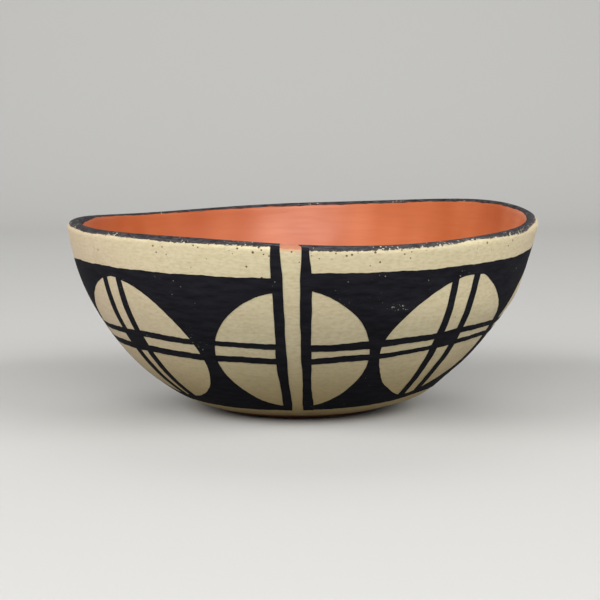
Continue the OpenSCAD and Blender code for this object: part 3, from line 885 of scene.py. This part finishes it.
# Pinker away from the front: a painted tint of warm light on the sides.
side_light_here = add(tree, "Attribute", attribute_name="flank")
side_light_tinted = add(tree, "Mix", {FACTOR: side_light_here.outputs["Fac"], COLOUR_A: warm.outputs[COLOUR],
                           COLOUR_B: linear("#d8c3a8")}, data_type="RGBA")
# Darker and yellower down the lower wall: painted shade.
thin_here = add(tree, "Attribute", attribute_name="thin")
thinned = add(tree, "Mix", {FACTOR: thin_here.outputs["Fac"], COLOUR_A: side_light_tinted.outputs[COLOUR],
                            COLOUR_B: linear("#cfb478")}, data_type="RGBA")
level = add(tree, "Mapping", {"Vector": coords, "Scale": (1.0, 1.0, 7.0)})
streaks = add(tree, "TexNoise", {"Vector": level.outputs[0], "Scale": per_mm(11), "Detail": 4.0,
                                 "Roughness": 0.65})
streak_mask = add(tree, "MapRange", {"Value": streaks.outputs[0], "From Min": 0.42, "From Max": 0.72,
                                     "To Max": 0.4})
streaked = add(tree, "Mix", {FACTOR: streak_mask.outputs[0], COLOUR_A: thinned.outputs[COLOUR],
                             COLOUR_B: linear("#c9b98d")}, data_type="RGBA")
wiped = add(tree, "Mapping", {"Vector": coords, "Scale": (1.0, 1.0, 2.5)})
grain = add(tree, "TexNoise", {"Vector": wiped.outputs[0], "Scale": per_mm(2.4), "Detail": 4.0,
                               "Roughness": 0.6})
grain_mask = add(tree, "MapRange", {"Value": grain.outputs[0], "From Min": 0.42, "From Max": 0.75,
                                    "To Max": 0.5})
grained = add(tree, "Mix", {FACTOR: grain_mask.outputs[0], COLOUR_A: streaked.outputs[COLOUR],
                            COLOUR_B: linear("#b7a67c")}, data_type="RGBA")

# %% Pits and blush of the cream
pits = add(tree, "TexVoronoi", {"Vector": coords, "Scale": per_mm(2.0)})
pit_kind = add(tree, "SeparateColor", {0: pits.outputs["Color"]})
pit_r = add(tree, "MapRange", {"Value": pit_kind.outputs[1], "To Min": 0.09, "To Max": 0.25})
pit_depth = add(tree, "Math", {0: pit_r.outputs[0], 1: pits.outputs["Distance"]}, operation="SUBTRACT")
pit_shape = add(tree, "MapRange", {"Value": pit_depth.outputs[0], "From Min": -0.03, "From Max": 0.05})
pit_share = add(tree, "Attribute", attribute_name="pitted")
pit_here = add(tree, "Math", {0: pit_kind.outputs[0], 1: pit_share.outputs["Fac"]}, operation="LESS_THAN")
pit = add(tree, "Math", {0: pit_shape.outputs[0], 1: pit_here.outputs[0]}, operation="MULTIPLY")
pit_tone = add(tree, "Mix", {FACTOR: pit_kind.outputs[2], COLOUR_A: linear("#4e4232"),
                             COLOUR_B: linear("#84604a")}, data_type="RGBA")
spotted = add(tree, "Mix", {FACTOR: pit.outputs[0], COLOUR_A: grained.outputs[COLOUR],
                            COLOUR_B: pit_tone.outputs[COLOUR]}, data_type="RGBA")
blush = add(tree, "Attribute", attribute_name="blush")
ragged = add(tree, "Math", {0: grain.outputs[0], 1: 0.6, 2: blush.outputs["Fac"]}, operation="MULTIPLY_ADD")
rubbed_through = add(tree, "MapRange", {"Value": ragged.outputs[0], "From Min": 0.38, "From Max": 1.0})
blushed = add(tree, "Mix", {FACTOR: rubbed_through.outputs[0], COLOUR_A: spotted.outputs[COLOUR],
                            COLOUR_B: linear("#b77c5f")}, data_type="RGBA")
tree.links.new(blushed.outputs[COLOUR], shader.inputs["Base Color"])

# %% Sheen and relief of the cream
sheen = add(tree, "MapRange", {"Value": streaks.outputs[0], "To Min": 0.50, "To Max": 0.70})
tree.links.new(sheen.outputs[0], shader.inputs["Roughness"])
rubbed = add(tree, "Bump", {"Strength": 0.25, "Distance": 0.12 * MM, "Height": streaks.outputs[0]})
grainy = add(tree, "Bump", {"Strength": 0.2, "Distance": 0.08 * MM, "Height": grain.outputs[0],
                            "Normal": rubbed.outputs[0]}, invert=True)
pocked = add(tree, "Bump", {"Strength": 0.8, "Distance": 0.3 * MM, "Height": pit.outputs[0],
                            "Normal": grainy.outputs[0]}, invert=True)
tree.links.new(pocked.outputs[0], shader.inputs["Normal"])
cream_coat.data.materials.append(cream)
print(cream.name, "nodes", len(tree.nodes))

# %% [markdown]
# Red slip, burnished with a stone.
# Iron-red slip rubbed with a smooth pebble while leather hard: a satin skin with faint level strokes and soft
# upright patches of lighter orange. It is smoother than the cream, so it takes a broad soft highlight. On the
# lip top at the break it is drawn paler, as painted light on the crest.

# %% Red slip
red, tree, shader = new_material("burnished red slip", 0.42, gloss=0.85)
coords = add(tree, "TexCoord").outputs["Object"]
upright = add(tree, "Mapping", {"Vector": coords, "Scale": (1.0, 1.0, 0.35)})
patches = add(tree, "TexNoise", {"Vector": upright.outputs[0], "Scale": per_mm(22), "Detail": 1.0})
patch_mask = add(tree, "MapRange", {"Value": patches.outputs[0], "From Min": 0.25, "From Max": 0.75})
orange = add(tree, "Mix", {FACTOR: patch_mask.outputs[0], COLOUR_A: linear("#aa5123"),
                           COLOUR_B: linear("#c57248")}, data_type="RGBA")
level = add(tree, "Mapping", {"Vector": coords, "Scale": (1.0, 1.0, 9.0)})
pebble = add(tree, "TexNoise", {"Vector": level.outputs[0], "Scale": per_mm(16), "Detail": 4.0})
pebble_mask = add(tree, "MapRange", {"Value": pebble.outputs[0], "From Min": 0.4, "From Max": 0.75,
                                     "To Max": 0.3})
stroked = add(tree, "Mix", {FACTOR: pebble_mask.outputs[0], COLOUR_A: orange.outputs[COLOUR],
                            COLOUR_B: linear("#a85129")}, data_type="RGBA")
# Paler red on the lip top at the break: painted light on the crest.
crest_light_here = add(tree, "Attribute", attribute_name="crest_light")
crest_lit = add(tree, "Mix", {FACTOR: crest_light_here.outputs["Fac"], COLOUR_A: stroked.outputs[COLOUR],
                          COLOUR_B: linear("#bc7653")}, data_type="RGBA")
tree.links.new(crest_lit.outputs[COLOUR], shader.inputs["Base Color"])
sheen = add(tree, "MapRange", {"Value": pebble.outputs[0], "To Min": 0.34, "To Max": 0.50})
tree.links.new(sheen.outputs[0], shader.inputs["Roughness"])
facets = add(tree, "Bump", {"Strength": 0.2, "Distance": 0.15 * MM, "Height": pebble.outputs[0]})
tree.links.new(facets.outputs[0], shader.inputs["Normal"])
red_coat.data.materials.append(red)
print(red.name, "nodes", len(tree.nodes))

# %% [markdown]
# Black paint, brushed on.
# Plant juice and iron earth, fired matte: blue-black, a little streaked along the brush, with pale specks
# where it missed a pore. On the lip it has been handled and has flaked to the pale clay under it; it is drawn
# greyer there, partly for that wear and partly as painted sheen, with a painted highlight along the top of the
# lip on the right. Dots from a cell pattern look stamped, so the specks are the peaks of a fine noise lifted
# by a coarse one.


# %% Black paint
def black_paint(name, dark, grey, hair_size, fleck_level, fleck_colour):
    """Brushed matte black, greyer where the wear mark is high, which on the rim line is partly painted sheen;
    it shows the pale coat below where fine noise, coarse noise and wear pass a level."""
    material, tree, shader = new_material(name, 0.55, gloss=0.006)
    coords = add(tree, "TexCoord").outputs["Object"]
    brush = add(tree, "Mapping", {"Vector": coords, "Scale": (1.0, 1.0, 5.0)})
    hairs = add(tree, "TexNoise", {"Vector": brush.outputs[0], "Scale": per_mm(hair_size), "Detail": 5.0,
                                   "Roughness": 0.6})
    wear_and_sheen = add(tree, "Attribute", attribute_name="wear_and_sheen")
    uneven = add(tree, "MapRange", {"Value": hairs.outputs[0], "From Min": 0.3, "From Max": 0.7})
    greyed = add(tree, "Math", {0: wear_and_sheen.outputs["Fac"], 1: 0.5, 2: uneven.outputs[0]},
                 operation="MULTIPLY_ADD")
    tone = add(tree, "Mix", {FACTOR: greyed.outputs[0], COLOUR_A: linear(dark), COLOUR_B: linear(grey)},
               data_type="RGBA")
    flecks = add(tree, "TexNoise", {"Vector": coords, "Scale": per_mm(0.9), "Detail": 1.0})
    stretch = add(tree, "TexNoise", {"Vector": coords, "Scale": per_mm(14), "Detail": 1.0})
    lifted = add(tree, "Math", {0: stretch.outputs[0], 1: 0.5, 2: flecks.outputs[0]},
                 operation="MULTIPLY_ADD")
    loose = add(tree, "Math", {0: wear_and_sheen.outputs["Fac"], 1: 0.18, 2: lifted.outputs[0]},
                operation="MULTIPLY_ADD")
    bare = add(tree, "MapRange", {"Value": loose.outputs[0], "From Min": fleck_level,
                                  "From Max": fleck_level + 0.05})
    flaked = add(tree, "Mix", {FACTOR: bare.outputs[0], COLOUR_A: tone.outputs[COLOUR],
                               COLOUR_B: linear(fleck_colour)}, data_type="RGBA")
    tree.links.new(flaked.outputs[COLOUR], shader.inputs["Base Color"])
    dull = add(tree, "MapRange", {"Value": hairs.outputs[0], "To Min": 0.48, "To Max": 0.66})
    tree.links.new(dull.outputs[0], shader.inputs["Roughness"])
    brushed = add(tree, "Bump", {"Strength": 0.3, "Distance": 0.1 * MM, "Height": hairs.outputs[0]})
    tree.links.new(brushed.outputs[0], shader.inputs["Normal"])
    print(name, "nodes", len(tree.nodes))
    return material


band_black = black_paint("brushed black paint", "#1a1a1e", "#28282d", 9, 1.06, "#98968c")
# The rim line's grey tone is partly handling wear and partly painted sheen on the lip.
rim_black = black_paint("worn black paint with painted sheen", "#19181a", "#4f4c4e", 3, 1.0, "#cfc5ad")
for piece in (upper_ground, lower_ground, left_bar, right_bar, upper_level, lower_level, upper_uprights,
              lower_uprights, squares):
    piece.data.materials.append(band_black)
rim_line.data.materials.append(rim_black)

# %% [markdown]
# Bare clay and the brown wash.
# Low-fired earthenware is matte and sandy, with grains of temper about a millimetre wide and dark clouds from
# the fire. The wash by the foot is the same clay thinned and wiped, a little darker and redder.


# %% Clay and wash
def sandy_clay(name, pale, deep, cloud):
    """Matte earthenware: two tones in patches, a sandy grain and soft fire clouds."""
    material, tree, shader = new_material(name, 0.85, gloss=0.3)
    coords = add(tree, "TexCoord").outputs["Object"]
    patches = add(tree, "TexNoise", {"Vector": coords, "Scale": per_mm(14), "Detail": 4.0})
    body = add(tree, "Mix", {FACTOR: patches.outputs[0], COLOUR_A: linear(pale), COLOUR_B: linear(deep)},
               data_type="RGBA")
    clouds = add(tree, "TexNoise", {"Vector": coords, "Scale": per_mm(45), "Detail": 2.0})
    cloud_mask = add(tree, "MapRange", {"Value": clouds.outputs[0], "From Min": 0.52, "From Max": 0.75,
                                        "To Max": 0.6})
    clouded = add(tree, "Mix", {FACTOR: cloud_mask.outputs[0], COLOUR_A: body.outputs[COLOUR],
                                COLOUR_B: linear(cloud)}, data_type="RGBA")
    tree.links.new(clouded.outputs[COLOUR], shader.inputs["Base Color"])
    sand = add(tree, "TexNoise", {"Vector": coords, "Scale": per_mm(0.9), "Detail": 2.0})
    gritty = add(tree, "Bump", {"Strength": 0.5, "Distance": 0.2 * MM, "Height": sand.outputs[0]})
    tree.links.new(gritty.outputs[0], shader.inputs["Normal"])
    print(name, "nodes", len(tree.nodes))
    return material


bare_clay = sandy_clay("sandy fired clay", "#b5774f", "#9c5f3c", "#5e4636")
brown_wash = sandy_clay("wiped brown wash", "#9a6a45", "#7f5233", "#5e4636")
pad.data.materials.append(bare_clay)
wash_coat.data.materials.append(brown_wash)
for name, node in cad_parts.items():
    if name.startswith("wall_coil") or name == "rim_coil":
        node.data.materials.clear()
        node.data.materials.append(bare_clay)

# %% [markdown]
# The studio.
# A plain pale sweep of paper carries the bowl and rises behind it. Soft lamps hang above, one in front, one on
# each side so that no flank goes dark, and a weak one behind for the back. A faint sky fills the rest. A pale
# floor throws much light up under the belly and takes away its shade; so the paper looks pale, but for the
# light it throws back it counts as grey.

# %% Floor, in metres
FLAT_STEPS, BEND_STEPS = 12, 24
paper_half, paper_front, paper_top = 3.0, -3.0, 4.0
bend_y, bend_r = 0.9, 0.6
bend = np.linspace(0, np.pi / 2, BEND_STEPS)[1:]
sweep_y = np.concatenate([np.linspace(paper_front, bend_y, FLAT_STEPS), bend_y + bend_r * np.sin(bend),
                          [bend_y + bend_r]])
sweep_z = np.concatenate([np.zeros(FLAT_STEPS), bend_r - bend_r * np.cos(bend), [paper_top]])
sweep_x = np.array([-paper_half, paper_half])
sweep = np.stack(np.broadcast_arrays(sweep_x[:, None], sweep_y[None], sweep_z[None]), -1)
sweep_index = np.arange(sweep.size // 3).reshape(sweep.shape[:2])
sweep_mesh = bpy.data.meshes.new("paper_sweep")
sweep_mesh.from_pydata(sweep.reshape(-1, 3).tolist(), [], grid_cells(sweep_index).tolist())
sweep_mesh.polygons.foreach_set("use_smooth", np.ones(len(sweep_mesh.polygons), bool))
floor = bpy.data.objects.new("paper_sweep", sweep_mesh)
bpy.context.scene.collection.objects.link(floor)
print("paper faces:", len(sweep_mesh.polygons))

# %% Paper
paper, tree, shader = new_material("matte paper", 0.9)
ray = add(tree, "LightPath")
seen = add(tree, "Math", {0: ray.outputs["Is Camera Ray"], 1: ray.outputs["Is Glossy Ray"]},
           operation="MAXIMUM")
shown = add(tree, "Math", {0: seen.outputs[0], 1: ray.outputs["Is Transmission Ray"]}, operation="MAXIMUM")
paper_tone = add(tree, "Mix", {FACTOR: shown.outputs[0], COLOUR_A: linear("#747371"),
                               COLOUR_B: linear("#c4c3c0")}, data_type="RGBA")
tree.links.new(paper_tone.outputs[COLOUR], shader.inputs["Base Color"])
sweep_mesh.materials.append(paper)
print(paper.name, "nodes", len(tree.nodes))

# %% Lamps and sky
LAMP_WIDE, LAMP_TALL = 1.3, 0.9
sky_strength = 0.1


def softbox(name, turn, climb, away, watts, glossy=False):
    """A soft lamp on a circle round the bowl: turned from the front, climbed above the floor, looking at the
    bowl. Only a glossy one is mirrored in the bowl."""
    lamp = bpy.data.lights.new(name, "AREA")
    lamp.shape, lamp.size, lamp.size_y, lamp.energy = "RECTANGLE", LAMP_WIDE, LAMP_TALL, watts
    turn, climb = np.radians(turn), np.radians(climb)
    level = away * np.cos(climb)
    box = bpy.data.objects.new(name, lamp)
    box.location = (level * np.sin(turn), -level * np.cos(turn), away * np.sin(climb))
    box.rotation_euler = (np.pi / 2 - climb, 0.0, turn)
    box.visible_glossy = glossy
    bpy.context.scene.collection.objects.link(box)
    print(name, "watts", watts)


softbox("front_softbox", 0, 34, 1.8, 16.0, glossy=True)
softbox("left_softbox", -60, 32, 1.7, 24.0)
softbox("right_softbox", 60, 32, 1.7, 22.0)
softbox("back_softbox", 180, 50, 1.6, 7.0)

sky = bpy.data.worlds.new("sky")
sky.use_nodes = True
sky.node_tree.nodes["Background"].inputs["Color"].default_value = linear("#eef0f4")
sky.node_tree.nodes["Background"].inputs["Strength"].default_value = sky_strength
bpy.context.scene.world = sky
bpy.context.scene.view_settings.view_transform = "Standard"
